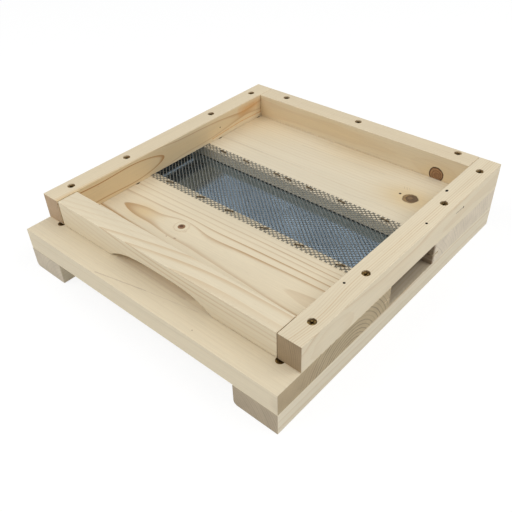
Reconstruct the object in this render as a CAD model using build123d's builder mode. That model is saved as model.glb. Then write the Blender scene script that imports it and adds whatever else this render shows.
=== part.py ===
"""Hive bottom board: runners, floor boards with a vent gap between them, and a frame for the hive body.

Millimetres. X runs across the entrance, Y from the landing strip to the back, Z up.
The origin is on the ground under the middle of the board.
"""

from build123d import *

import os
from math import floor, hypot, radians, tan

os.makedirs("parts", exist_ok=True)

# Frame that carries the hive body
hive_width = 350.0
hive_depth = 350.0
rail_width = 25.0
rail_height = 30.0
rear_rail_clearance = 0.2

# Floor boards, with the vent gap midway along the frame, and runners
landing_depth = 30.0
vent_gap = 80.0
floor_thickness = 25.0
runner_width = 50.0
runner_thickness = 25.0
runner_round = 4.5
arris = 0.7

# Entrance block between the side rails, and the bees' arch in it
block_right_clearance = 0.5
block_left_clearance = 1.3
block_end_slant = 1.0
block_floor_gap = 0.4
arch_width = 145.0
arch_height = 14.8
arch_offset = 3.0
crown_shift = 5.0
left_shoulder_inset = 20.0
left_shoulder_drop = 5.2
right_shoulder_inset = 26.0
right_shoulder_drop = 3.0

# Sheet that slides in saw kerfs in the facing edges of the floor boards, with a lip bent up at its left end
sheet_thickness = 1.0
sheet_end_inset = 10.0
sheet_corner = 3.0
sheet_clearance = 0.3
lip_top_gap = 0.7
lip_side_gap = 0.6
lip_bend = 1.5
kerf_depth = 10.0
kerf_headroom = 1.3
kerf_below_top = 12.2

# Vent mesh, stapled over the gap and pinched under the side rails
mesh_lap = 10.0
mesh_end_inset = 1.0
mesh_thickness = 1.0
mesh_seat_clearance = 0.3
mesh_cell_width = 14.0
mesh_cell_depth = 11.4
mesh_strand = 2.0

# Countersunk cross-head wood screws, their heads sunk below the wood, with wood left under their tips
shank_diameter = 4.0
head_diameter = 8.4
head_rim = 0.3
head_angle = 90.0
tip_length = 6.0
tip_cover = 8.6
screw_clearance = 0.05
cross_length = 4.6
cross_width = 1.2
cross_depth = 1.9
pit_diameter = 2.6
pit_depth = 3.4
rail_screw_sink = 1.4
floor_screw_sink = 0.8

# How far the screws sit from the edges of what they hold, and the floor screws in from the rail screws
rail_screw_side_inset = 11.5
rail_screw_end_inset = 28.0
rail_screw_gap_inset = 29.5
rear_screw_back_insets = [10.6, 10.6, 7.0]
rear_screw_left_inset = 34.0
rear_screw_right_inset = 22.5
rear_screw_middle_offset = -3.0
floor_screw_step = 10.5
floor_screw_edge_inset = 30.0

# Staples: how far along its row each one sits, from 0 at the left to 1 at the right
staple_crown = 9.6
staple_leg = 9.0
staple_wire_width = 1.2
staple_wire_thickness = 0.7
staple_clearance = 0.05
staple_end_inset = 29.0
front_staple_shares = [0.0, 0.21, 0.39, 0.60, 0.79, 1.0]
front_staple_turn = 22.0
rear_staple_shares = [0.0, 0.16, 0.36, 0.43, 0.56, 0.74, 0.97]
rear_staple_turn = -6.0

# Pin holes in the top of the right side rail: out from its inner side, back from its front end
pin_hole_diameter = 2.4
pin_hole_depth = 4.0
pin_hole_places = [(6.2, 82.9), (17.1, 203.6), (4.6, 266.9)]

# Lines and levels that several pieces share
board_depth = landing_depth + hive_depth
half_width = hive_width / 2
inner_half_width = half_width - rail_width
front_y = -board_depth / 2
rear_y = board_depth / 2
frame_front_y = front_y + landing_depth
vent_middle_y = frame_front_y + hive_depth / 2
vent_front_y = vent_middle_y - vent_gap / 2
vent_rear_y = vent_middle_y + vent_gap / 2
front_board_depth = vent_front_y - front_y
rear_board_depth = rear_y - vent_rear_y
floor_bottom_z = runner_thickness
floor_top_z = floor_bottom_z + floor_thickness
frame_top_z = floor_top_z + rail_height
kerf_height = sheet_clearance + sheet_thickness + kerf_headroom
kerf_bottom_z = floor_top_z - kerf_below_top - kerf_height
sheet_bottom_z = kerf_bottom_z + sheet_clearance
mesh_depth = vent_gap + 2 * mesh_lap
mesh_top_z = floor_top_z + mesh_thickness
shank_radius = shank_diameter / 2
head_radius = head_diameter / 2
hole_radius = shank_radius + screw_clearance
sink_radius = head_radius + screw_clearance
rail_screw_z = frame_top_z - rail_screw_sink
floor_screw_z = floor_top_z - floor_screw_sink
runner_tip_z = tip_cover
floor_tip_z = floor_bottom_z + tip_cover

# Places of the screws in plan
rail_screw_x = half_width - rail_screw_side_inset
rail_screw_xs = [-rail_screw_x, rail_screw_x]
front_rail_screw_ys = [frame_front_y + rail_screw_end_inset, vent_front_y - rail_screw_gap_inset]
rear_rail_screw_ys = [vent_rear_y + rail_screw_gap_inset, rear_y - rail_screw_end_inset]
rail_screw_ys = front_rail_screw_ys + rear_rail_screw_ys
floor_screw_x = rail_screw_x - floor_screw_step
floor_screw_xs = [-floor_screw_x, floor_screw_x]
front_floor_screw_ys = [front_y + floor_screw_edge_inset, vent_front_y - floor_screw_edge_inset]
rear_floor_screw_ys = [vent_rear_y + floor_screw_edge_inset, rear_y - floor_screw_edge_inset]
floor_screw_ys = front_floor_screw_ys + rear_floor_screw_ys
rear_screw_ys = [rear_y - inset for inset in rear_screw_back_insets]
rear_screw_xs = [
    -inner_half_width + rear_screw_left_inset,
    rear_screw_middle_offset,
    inner_half_width - rear_screw_right_inset,
]


def spots(xs, ys, z):
    """Points at one level, one for each x with each y."""
    return [(x, y, z) for x in xs for y in ys]


def rear_screw_spots(z):
    """Points at one level, one for each screw of the rear rail."""
    return [(x, y, z) for x, y in zip(rear_screw_xs, rear_screw_ys)]


def staple_row(y, shares, turn):
    """Places for a row of staples on top of the mesh, all turned the same way."""
    half_row = inner_half_width - staple_end_inset
    return [Location((half_row * (2 * share - 1), y, mesh_top_z), (0, 0, turn)) for share in shares]


front_staple_row = staple_row(vent_front_y - mesh_lap / 2, front_staple_shares, front_staple_turn)
rear_staple_row = staple_row(vent_rear_y + mesh_lap / 2, rear_staple_shares, rear_staple_turn)


def wood_screw(length):
    """A screw hanging from the origin: head flush with it, tip straight down."""
    cone_height = (head_radius - shank_radius) / tan(radians(head_angle / 2))
    with BuildPart() as screw:
        with BuildSketch(Plane.XZ):
            with BuildLine():
                Polyline(
                    (0, 0),
                    (head_radius, 0),
                    (head_radius, -head_rim),
                    (shank_radius, -head_rim - cone_height),
                    (shank_radius, tip_length - length),
                    (0, -length),
                    close=True,
                )
            make_face()
        revolve(axis=Axis.Z)
        with BuildSketch(Plane.XY):
            Rectangle(cross_length, cross_width)
            Rectangle(cross_width, cross_length)
        extrude(amount=-cross_depth, mode=Mode.SUBTRACT)
        Hole(pit_diameter / 2, pit_depth)
    return screw.part


def screw_group(screw, places):
    """Identical screws, one at each place."""
    with BuildPart() as group:
        with Locations(*places):
            add(screw)
    return group.part


def staple(clearance):
    """A staple astride the origin, crown up and legs down, its wire grown by a clearance each side."""
    wire = staple_wire_thickness + 2 * clearance
    leg_middle = (staple_crown - staple_wire_thickness) / 2
    with BuildPart() as bent_wire:
        with BuildSketch(Plane.XZ):
            Rectangle(staple_crown + 2 * clearance, wire, align=(Align.CENTER, Align.MIN))
            with Locations((-leg_middle, 0), (leg_middle, 0)):
                Rectangle(wire, staple_leg + clearance, align=(Align.CENTER, Align.MAX))
        extrude(amount=staple_wire_width / 2 + clearance, both=True)
    return bent_wire.part


def planed_board(x, y, z, width, depth, height):
    """A board between its lowest corner and its sizes, with every edge eased."""
    with BuildPart() as board:
        with BuildSketch(Plane.XY.offset(z)):
            with Locations((x, y)):
                Rectangle(width, depth, align=(Align.MIN, Align.MIN))
        extrude(amount=height)
        fillet(board.edges(), radius=arris)
    return board.part


def runner(left_x, side):
    """A batten under one side of the board, rounded along its lower left edge and drilled for screws."""
    hole_depth = runner_thickness - runner_tip_z + screw_clearance
    with BuildPart() as batten:
        with BuildSketch(Plane.XZ) as section:
            with Locations((left_x, 0)):
                Rectangle(runner_width, runner_thickness, align=(Align.MIN, Align.MIN))
            fillet(section.vertices().group_by(Axis.Y)[0].sort_by(Axis.X)[0], radius=runner_round)
            fillet(section.vertices().group_by(Axis.Y)[0].sort_by(Axis.X)[-1], radius=arris)
            fillet(section.vertices().group_by(Axis.Y)[-1], radius=arris)
        extrude(amount=board_depth / 2, both=True)
        with Locations(*spots([side * rail_screw_x], rail_screw_ys, runner_thickness)):
            Hole(hole_radius, hole_depth)
        with Locations(*spots([side * floor_screw_x], floor_screw_ys, runner_thickness)):
            Hole(hole_radius, hole_depth)
    return batten.part


def side_rail(left_x, side):
    """A rail along one side of the frame, with countersunk holes and a seat for the end of the mesh."""
    with BuildPart() as rail:
        add(planed_board(left_x, frame_front_y, floor_top_z, rail_width, hive_depth, rail_height))
        with Locations(*spots([side * rail_screw_x], rail_screw_ys, rail_screw_z - head_rim)):
            CounterSinkHole(hole_radius, sink_radius, counter_sink_angle=head_angle)
        with Locations((left_x, vent_middle_y, floor_top_z)):
            Box(
                rail_width,
                mesh_depth + 2 * mesh_seat_clearance,
                mesh_thickness,
                align=(Align.MIN, Align.CENTER, Align.MIN),
                mode=Mode.SUBTRACT,
            )
    return rail.part


# Runners
with BuildPart() as left_runner:
    add(runner(-half_width, -1))

with BuildPart() as right_runner:
    add(runner(half_width - runner_width, 1))

# Front floor board, its front edge standing out as the landing strip
with BuildPart() as front_floor_board:
    front_board_corner = (-half_width, front_y, floor_bottom_z)
    add(planed_board(*front_board_corner, hive_width, front_board_depth, floor_thickness))
    with Locations((0, vent_front_y, kerf_bottom_z)):
        Box(
            hive_width,
            kerf_depth,
            kerf_height,
            align=(Align.CENTER, Align.MAX, Align.MIN),
            mode=Mode.SUBTRACT,
        )
    with Locations(*spots(rail_screw_xs, front_rail_screw_ys, floor_top_z)):
        Hole(hole_radius)
    with Locations(*spots(floor_screw_xs, front_floor_screw_ys, floor_screw_z - head_rim)):
        CounterSinkHole(hole_radius, sink_radius, counter_sink_angle=head_angle)
    with Locations(*front_staple_row):
        add(staple(staple_clearance), mode=Mode.SUBTRACT)

# Rear floor board
with BuildPart() as rear_floor_board:
    rear_board_corner = (-half_width, vent_rear_y, floor_bottom_z)
    add(planed_board(*rear_board_corner, hive_width, rear_board_depth, floor_thickness))
    with Locations((0, vent_rear_y, kerf_bottom_z)):
        Box(
            hive_width,
            kerf_depth,
            kerf_height,
            align=(Align.CENTER, Align.MIN, Align.MIN),
            mode=Mode.SUBTRACT,
        )
    with Locations(*spots(rail_screw_xs, rear_rail_screw_ys, floor_top_z)):
        Hole(hole_radius)
    with Locations(*spots(floor_screw_xs, rear_floor_screw_ys, floor_screw_z - head_rim)):
        CounterSinkHole(hole_radius, sink_radius, counter_sink_angle=head_angle)
    with Locations(*rear_screw_spots(floor_top_z)):
        Hole(hole_radius, floor_top_z - floor_tip_z + screw_clearance)
    with Locations(*rear_staple_row):
        add(staple(staple_clearance), mode=Mode.SUBTRACT)

# Frame
with BuildPart() as left_side_rail:
    add(side_rail(-half_width, -1))

with BuildPart() as right_side_rail:
    add(side_rail(inner_half_width, 1))
    for out, back in pin_hole_places:
        with Locations((inner_half_width + out, frame_front_y + back, frame_top_z)):
            Hole(pin_hole_diameter / 2, pin_hole_depth)

with BuildPart() as rear_rail:
    rear_left_x = rear_rail_clearance - inner_half_width
    rear_length = -2 * rear_left_x
    add(planed_board(rear_left_x, rear_y - rail_width, floor_top_z, rear_length, rail_width, rail_height))
    with Locations(*rear_screw_spots(rail_screw_z - head_rim)):
        CounterSinkHole(hole_radius, sink_radius, counter_sink_angle=head_angle)

# Entrance block: its left end is cut out of square, and its arch is sawn by hand, fuller on one side
with BuildPart() as entrance_block:
    block_left = block_left_clearance - inner_half_width
    block_right = inner_half_width - block_right_clearance
    block_bottom_z = floor_top_z + block_floor_gap
    arch_left = arch_offset - arch_width / 2
    arch_right = arch_offset + arch_width / 2
    arch_top_z = floor_top_z + arch_height
    block_back = Plane.XZ.offset(-frame_front_y - rail_width)
    with BuildSketch(block_back):
        with BuildLine():
            Polyline(
                (block_left + block_end_slant, block_bottom_z),
                (block_left, frame_top_z),
                (block_right, frame_top_z),
                (block_right, block_bottom_z),
                close=True,
            )
        make_face()
    extrude(amount=rail_width)
    fillet(entrance_block.edges(), radius=arris)
    with BuildSketch(block_back):
        with BuildLine():
            Spline(
                (arch_left, floor_top_z),
                (arch_left + left_shoulder_inset, arch_top_z - left_shoulder_drop),
                (arch_offset + crown_shift, arch_top_z),
                (arch_right - right_shoulder_inset, arch_top_z - right_shoulder_drop),
                (arch_right, floor_top_z),
            )
            Line((arch_right, floor_top_z), (arch_left, floor_top_z))
        make_face()
    extrude(amount=rail_width, mode=Mode.SUBTRACT)

# Vent mesh, at a wider pitch than wire: diamonds between the rails, a plain margin under the staples
with BuildPart() as vent_mesh:
    cell_columns = floor(2 * inner_half_width / mesh_cell_width)
    cell_rows = floor(vent_gap / mesh_cell_depth)
    cell_slant = hypot(mesh_cell_width, mesh_cell_depth)
    open_share = 1 - mesh_strand * cell_slant / (mesh_cell_width * mesh_cell_depth)
    gap_x = open_share * mesh_cell_width / 2
    gap_y = open_share * mesh_cell_depth / 2
    with BuildSketch(Plane.XY.offset(floor_top_z)):
        with Locations((0, vent_middle_y)):
            Rectangle(hive_width - 2 * mesh_end_inset, mesh_depth)
        with Locations((0, vent_middle_y)):
            with GridLocations(mesh_cell_width, mesh_cell_depth, cell_columns, cell_rows):
                Polygon((gap_x, 0), (0, gap_y), (-gap_x, 0), (0, -gap_y), mode=Mode.SUBTRACT)
            with GridLocations(mesh_cell_width, mesh_cell_depth, cell_columns - 1, cell_rows - 1):
                Polygon((gap_x, 0), (0, gap_y), (-gap_x, 0), (0, -gap_y), mode=Mode.SUBTRACT)
    extrude(amount=mesh_thickness)
    with Locations(*front_staple_row, *rear_staple_row):
        add(staple(staple_clearance), mode=Mode.SUBTRACT)

# Sheet in the kerfs, its lip standing between the floor boards and closing the left end of the vent gap
with BuildPart() as slide_sheet:
    sheet_length = hive_width - 2 * sheet_end_inset
    sheet_depth = vent_gap + 2 * (kerf_depth - sheet_clearance)
    lip_depth = vent_gap - 2 * lip_side_gap
    lip_height = floor_top_z - lip_top_gap - sheet_bottom_z
    lip_foot = (-half_width, vent_middle_y, sheet_bottom_z)
    with BuildSketch(Plane.XY.offset(sheet_bottom_z)):
        with Locations((0, vent_middle_y)):
            RectangleRounded(sheet_length, sheet_depth, sheet_corner)
        with Locations((-half_width, vent_middle_y)):
            Rectangle(half_width, lip_depth, align=(Align.MIN, Align.CENTER))
    extrude(amount=sheet_thickness)
    with Locations(lip_foot):
        Box(sheet_thickness, lip_depth, lip_height, align=(Align.MIN, Align.CENTER, Align.MIN))
    fillet(slide_sheet.edges().filter_by(Axis.Y).sort_by_distance(lip_foot)[0], radius=lip_bend)

# Screws, in pairs where a rail or a runner crosses a floor board
rail_screw = wood_screw(rail_screw_z - runner_tip_z)
rear_screw = wood_screw(rail_screw_z - floor_tip_z)
floor_screw = wood_screw(floor_screw_z - runner_tip_z)

with BuildPart() as left_front_rail_screws:
    add(screw_group(rail_screw, spots([-rail_screw_x], front_rail_screw_ys, rail_screw_z)))

with BuildPart() as left_rear_rail_screws:
    add(screw_group(rail_screw, spots([-rail_screw_x], rear_rail_screw_ys, rail_screw_z)))

with BuildPart() as right_front_rail_screws:
    add(screw_group(rail_screw, spots([rail_screw_x], front_rail_screw_ys, rail_screw_z)))

with BuildPart() as right_rear_rail_screws:
    add(screw_group(rail_screw, spots([rail_screw_x], rear_rail_screw_ys, rail_screw_z)))

with BuildPart() as rear_rail_screws:
    add(screw_group(rear_screw, rear_screw_spots(rail_screw_z)))

with BuildPart() as left_front_floor_screws:
    add(screw_group(floor_screw, spots([-floor_screw_x], front_floor_screw_ys, floor_screw_z)))

with BuildPart() as left_rear_floor_screws:
    add(screw_group(floor_screw, spots([-floor_screw_x], rear_floor_screw_ys, floor_screw_z)))

with BuildPart() as right_front_floor_screws:
    add(screw_group(floor_screw, spots([floor_screw_x], front_floor_screw_ys, floor_screw_z)))

with BuildPart() as right_rear_floor_screws:
    add(screw_group(floor_screw, spots([floor_screw_x], rear_floor_screw_ys, floor_screw_z)))

# Staples
with BuildPart() as front_mesh_staples:
    with Locations(*front_staple_row):
        add(staple(0))

with BuildPart() as rear_mesh_staples:
    with Locations(*rear_staple_row):
        add(staple(0))

pieces = {
    "left_runner": left_runner,
    "right_runner": right_runner,
    "front_floor_board": front_floor_board,
    "rear_floor_board": rear_floor_board,
    "left_side_rail": left_side_rail,
    "right_side_rail": right_side_rail,
    "rear_rail": rear_rail,
    "entrance_block": entrance_block,
    "vent_mesh": vent_mesh,
    "slide_sheet": slide_sheet,
    "left_front_rail_screws": left_front_rail_screws,
    "left_rear_rail_screws": left_rear_rail_screws,
    "right_front_rail_screws": right_front_rail_screws,
    "right_rear_rail_screws": right_rear_rail_screws,
    "rear_rail_screws": rear_rail_screws,
    "left_front_floor_screws": left_front_floor_screws,
    "left_rear_floor_screws": left_rear_floor_screws,
    "right_front_floor_screws": right_front_floor_screws,
    "right_rear_floor_screws": right_rear_floor_screws,
    "front_mesh_staples": front_mesh_staples,
    "rear_mesh_staples": rear_mesh_staples,
}

for name, piece in pieces.items():
    piece.part.label = name
    export_step(piece.part, f"parts/{name}.step")
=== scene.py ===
"""Dresses the hive bottom board: planed pine, expanded zinc mesh, a bright sheet, screws and staples."""

from __future__ import annotations

import logging
import math
import random
from collections.abc import Sequence
from dataclasses import dataclass, replace
from enum import Enum

import bmesh
import bpy
from mathutils import Euler, Matrix, Quaternion, Vector

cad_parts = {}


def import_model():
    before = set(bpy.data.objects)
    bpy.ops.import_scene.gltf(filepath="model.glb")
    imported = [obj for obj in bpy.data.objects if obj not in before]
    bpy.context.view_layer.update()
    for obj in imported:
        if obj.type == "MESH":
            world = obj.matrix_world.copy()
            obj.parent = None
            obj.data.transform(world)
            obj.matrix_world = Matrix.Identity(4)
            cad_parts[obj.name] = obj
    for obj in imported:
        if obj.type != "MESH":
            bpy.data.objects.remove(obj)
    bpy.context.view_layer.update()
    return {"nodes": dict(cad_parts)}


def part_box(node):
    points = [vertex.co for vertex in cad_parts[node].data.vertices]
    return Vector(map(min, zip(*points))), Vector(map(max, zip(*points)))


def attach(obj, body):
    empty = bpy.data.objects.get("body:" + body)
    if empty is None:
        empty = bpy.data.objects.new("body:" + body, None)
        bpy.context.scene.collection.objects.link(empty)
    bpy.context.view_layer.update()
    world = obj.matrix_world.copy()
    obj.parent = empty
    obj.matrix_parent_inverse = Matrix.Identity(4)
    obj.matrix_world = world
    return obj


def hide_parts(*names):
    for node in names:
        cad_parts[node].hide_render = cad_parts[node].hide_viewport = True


log = logging.getLogger("hive_bottom_board")

MM = 0.001
HALF = 0.5
FINE_DETAIL = 3.0

Triple = tuple[float, float, float]
Colour = tuple[float, float, float, float]
Feed = float | Sequence[float] | bpy.types.NodeSocket

UPWARD: Triple = (0.0, 0.0, 1.0)
RIGHTWARD: Triple = (1.0, 0.0, 0.0)
FORWARD: Triple = (0.0, -1.0, 0.0)
CROSSWISE: Triple = (1.0, 1.0, 0.0)
WHITE: Colour = (1.0, 1.0, 1.0, 1.0)


def srgb(red: int, green: int, blue: int) -> Colour:
    """Turns screen values from 0 to 255 into the linear colour that renders as them.

    Args:
        red: Red on the screen.
        green: Green on the screen.
        blue: Blue on the screen.

    Returns:
        The colour in linear light, with a full alpha.
    """
    full = 255
    toe_end = 0.04045
    toe_slope = 12.92
    lift = 0.055
    power = 2.4
    shares = [value / full for value in (red, green, blue)]
    linear = [s / toe_slope if s <= toe_end else ((s + lift) / (1 + lift)) ** power for s in shares]
    return (*linear, 1.0)


def add_object(name: str, data: bpy.types.ID) -> bpy.types.Object:
    """Puts a new object into the scene.

    Args:
        name: The object's name.
        data: Its mesh, lamp or camera.

    Returns:
        The object.
    """
    made = bpy.data.objects.new(name, data)
    bpy.context.scene.collection.objects.link(made)
    return made


def add_mesh(name: str, shape: bmesh.types.BMesh) -> bpy.types.Object:
    """Turns a finished shape into an object of the scene.

    Args:
        name: The name of the object and of its mesh.
        shape: The shape, which is freed.

    Returns:
        The object.
    """
    data = bpy.data.meshes.new(name)
    shape.to_mesh(data)
    shape.free()
    return add_object(name, data)


class Wiring:
    """Adds nodes to one shader tree and links them."""

    def __init__(self, tree: bpy.types.NodeTree) -> None:
        """Keeps the tree that the nodes go into."""
        self.tree = tree

    @staticmethod
    def blank(owner: bpy.types.Material | bpy.types.World) -> Wiring:
        """Empties the tree of a material or a world.

        Args:
            owner: The material or the world.

        Returns:
            The wiring of its empty tree.
        """
        owner.use_nodes = True
        owner.node_tree.nodes.clear()
        return Wiring(owner.node_tree)

    def node(self, kind: str, **settings: object) -> bpy.types.Node:
        """Adds a node.

        Args:
            kind: The node's type name.
            **settings: Properties to set on it.

        Returns:
            The new node.
        """
        made = self.tree.nodes.new(kind)
        for name, value in settings.items():
            setattr(made, name, value)
        return made

    def feed(self, socket: bpy.types.NodeSocket, value: Feed) -> None:
        """Links a socket to another one, or writes a plain value on it.

        Args:
            socket: The socket that is fed.
            value: The other socket, or the plain value.
        """
        if isinstance(value, bpy.types.NodeSocket):
            self.tree.links.new(value, socket)
        else:
            socket.default_value = value

    def fill(self, sockets: Sequence[bpy.types.NodeSocket], values: Sequence[Feed]) -> None:
        """Feeds sockets in turn, as far as the values go."""
        for socket, value in zip(sockets, values):
            self.feed(socket, value)

    def supply(self, node: bpy.types.Node, **feeds: Feed) -> bpy.types.Node:
        """Feeds a node's inputs by name.

        Args:
            node: The node.
            **feeds: What each input takes, with underscores for the spaces of its name.

        Returns:
            The same node.
        """
        for name, value in feeds.items():
            self.feed(node.inputs[name.replace("_", " ")], value)
        return node

    def math(self, operation: str, *values: Feed) -> bpy.types.NodeSocket:
        """Adds a Math node.

        Args:
            operation: What it does.
            *values: What its inputs take, in turn.

        Returns:
            Its result.
        """
        made = self.node("ShaderNodeMath", operation=operation)
        self.fill(made.inputs, values)
        return made.outputs["Value"]

    def times(self, first: Feed, second: Feed) -> bpy.types.NodeSocket:
        """Multiplies two numbers."""
        return self.math("MULTIPLY", first, second)

    def plus(self, first: Feed, second: Feed) -> bpy.types.NodeSocket:
        """Adds two numbers."""
        return self.math("ADD", first, second)

    def minus(self, first: Feed, second: Feed) -> bpy.types.NodeSocket:
        """Takes the second number from the first."""
        return self.math("SUBTRACT", first, second)

    def add_up(self, base: Feed, *parts: tuple[Feed, float]) -> Feed:
        """Adds parts to a number, each with a weight of its own.

        Args:
            base: The number that the parts are added to.
            *parts: Each part with its weight.

        Returns:
            The sum.
        """
        total = base
        for part, weight in parts:
            total = self.math("MULTIPLY_ADD", part, weight, total)
        return total

    def _vector_node(self, operation: str, values: Sequence[Feed]) -> bpy.types.Node:
        """Adds a Vector Math node.

        Args:
            operation: What it does.
            values: What its inputs take, in turn.

        Returns:
            The node.
        """
        made = self.node("ShaderNodeVectorMath", operation=operation)
        self.fill(made.inputs, values)
        return made

    def vector(self, operation: str, *values: Feed) -> bpy.types.NodeSocket:
        """Adds a Vector Math node and returns its vector."""
        return self._vector_node(operation, values).outputs["Vector"]

    def measure(self, operation: str, *values: Feed) -> bpy.types.NodeSocket:
        """Adds a Vector Math node and returns its number, such as a length or a dot product."""
        return self._vector_node(operation, values).outputs["Value"]

    def scaled(self, vector: Feed, factor: Feed) -> bpy.types.NodeSocket:
        """Multiplies a vector by a number."""
        made = self.node("ShaderNodeVectorMath", operation="SCALE")
        return self.supply(made, Vector=vector, Scale=factor).outputs["Vector"]

    def shifted(self, place: Feed, stride: Triple, seed: Feed) -> bpy.types.NodeSocket:
        """Moves a point by a seed's strides, so that no two seeds read the same noise."""
        return self.vector("ADD", place, self.scaled(stride, seed))

    def step(
        self, value: Feed, start: Feed, end: Feed, low: Feed = 0.0, high: Feed = 1.0
    ) -> bpy.types.NodeSocket:
        """Eases from low to high as a value goes from start to end.

        Args:
            value: The value that is followed.
            start: Where the change starts.
            end: Where it ends.
            low: The result at the start.
            high: The result at the end.

        Returns:
            The eased result.
        """
        made = self.node("ShaderNodeMapRange", interpolation_type="SMOOTHSTEP")
        self.supply(made, Value=value, From_Min=start, From_Max=end, To_Min=low, To_Max=high)
        return made.outputs["Result"]

    def noise(self, place: Feed, lump: Feed, detail: float = 2.0) -> bpy.types.Node:
        """Adds a noise whose lumps have a size of their own along each axis.

        Args:
            place: The point that it is read at.
            lump: Size of a lump along each axis.
            detail: Finer octaves on top of the first.

        Returns:
            The noise node.
        """
        made = self.node("ShaderNodeTexNoise")
        lumps = self.vector("DIVIDE", place, lump)
        return self.supply(made, Vector=lumps, Scale=1.0, Detail=detail)

    def swing(self, place: Feed, lump: Triple, detail: float = 2.0) -> bpy.types.NodeSocket:
        """Gives a noise that swings about nought, by up to a half each way."""
        return self.minus(self.noise(place, lump, detail).outputs["Fac"], HALF)

    def stir(self, place: Feed, lump: Triple) -> bpy.types.NodeSocket:
        """Gives a noise that swings about nought along each axis, by up to a half each way."""
        return self.vector("SUBTRACT", self.noise(place, lump).outputs["Color"], (HALF, HALF, HALF))

    def _mixed(self, made: bpy.types.Node, *values: Feed) -> bpy.types.NodeSocket:
        """Feeds a Mix node its share and its two sides, and returns its result."""
        self.fill([socket for socket in made.inputs if socket.enabled], values)
        return next(socket for socket in made.outputs if socket.enabled)

    def mix(self, share: Feed, first: Feed, second: Feed, blend: str = "MIX") -> bpy.types.NodeSocket:
        """Mixes two colours.

        Args:
            share: How much of the second colour shows.
            first: The colour underneath.
            second: The colour on top.
            blend: The way that they blend.

        Returns:
            The mixed colour.
        """
        made = self.node("ShaderNodeMix", data_type="RGBA", blend_type=blend)
        return self._mixed(made, share, first, second)

    def blend(self, share: Feed, first: Feed, second: Feed) -> bpy.types.NodeSocket:
        """Mixes two numbers, by a share of the second."""
        return self._mixed(self.node("ShaderNodeMix", data_type="FLOAT"), share, first, second)

    def group(self, tree: bpy.types.NodeTree, **feeds: Feed) -> bpy.types.Node:
        """Places a node group and feeds its inputs by name."""
        return self.supply(self.node("ShaderNodeGroup", node_tree=tree), **feeds)

    def bump(self, height: Feed, strength: float, depth: float) -> bpy.types.NodeSocket:
        """Turns heights into a bent surface normal.

        Args:
            height: The height, as a share of the depth.
            strength: How much of the bend shows.
            depth: The depth, in metres.

        Returns:
            The normal.
        """
        made = self.node("ShaderNodeBump")
        self.supply(made, Strength=strength, Distance=depth, Height=height)
        return made.outputs["Normal"]


class Kind(Enum):
    """What a group's socket carries."""

    VALUE = "NodeSocketFloat"
    VECTOR = "NodeSocketVector"
    COLOUR = "NodeSocketColor"


class Group(Wiring):
    """A shader node group with named inputs and outputs."""

    def __init__(self, name: str, inputs: dict[str, Kind], outputs: dict[str, Kind]) -> None:
        """Makes the group's tree, its sockets and its two end nodes.

        Args:
            name: The group's name.
            inputs: The kind of each input.
            outputs: The kind of each output.
        """
        super().__init__(bpy.data.node_groups.new(name, "ShaderNodeTree"))
        for way, sockets in (("INPUT", inputs), ("OUTPUT", outputs)):
            for label, kind in sockets.items():
                self.tree.interface.new_socket(name=label, in_out=way, socket_type=kind.value)
        self.given = self.node("NodeGroupInput").outputs
        self.result = self.node("NodeGroupOutput")

    def put(self, **values: Feed) -> bpy.types.NodeTree:
        """Links the outputs and returns the finished group."""
        self.supply(self.result, **values)
        return self.tree


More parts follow.
